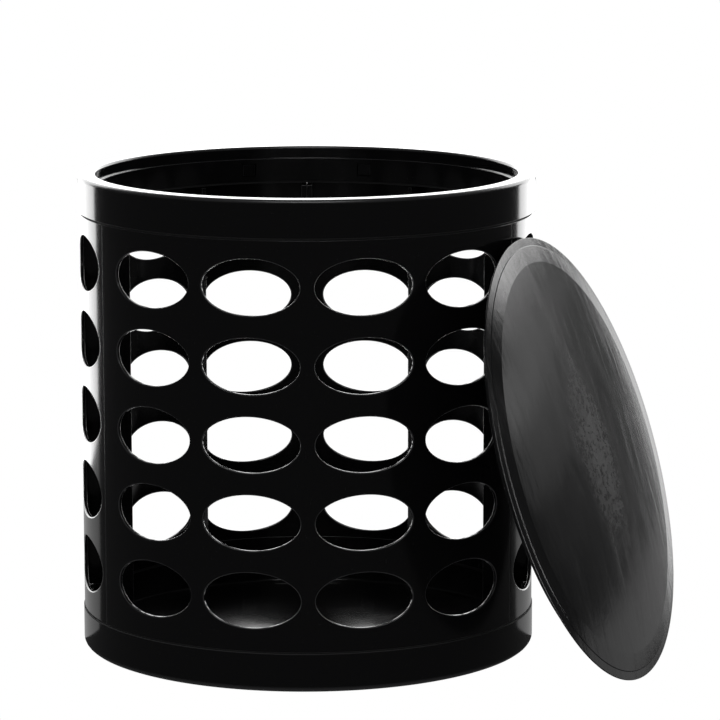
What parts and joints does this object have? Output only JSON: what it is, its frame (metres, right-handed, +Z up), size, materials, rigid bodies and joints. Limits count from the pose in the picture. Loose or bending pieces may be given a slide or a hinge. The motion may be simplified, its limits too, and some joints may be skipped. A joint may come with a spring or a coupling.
{
  "type": "storage stool",
  "caption": "Round perforated storage stool: a base tray and collar hold three curved wall panels with oval holes, and the domed lid lifts off, shown leaning on the drum.",
  "frame": {"origin": "on the drum's axis, in the plane of the base tray's underside", "axes": "+Z up along the drum's axis; -Y towards the front, through the middle of one wall panel; +X to the right"},
  "size_m": [0.4608, 0.4391, 0.366],
  "materials": {
    "drum_black": "glossy injection-moulded black plastic with a faint moulding texture and hairline scuffs",
    "lid_black": "black plastic, semi-gloss, with hazy handling marks over the middle of the dome"
  },
  "bodies": {
    "drum": {"base_tray": "drum_black", "wall_panel_front": "drum_black", "wall_panel_right": "drum_black", "wall_panel_left": "drum_black", "collar": "drum_black"},
    "lid": {"lid": "lid_black"}
  },
  "joints": [
    {"name": "lid_lift", "type": "slide", "parent": "drum", "child": "lid", "axis": [0.8855, -0.3506, 0.3049], "range_m": [0, 0.25]}
  ]
}
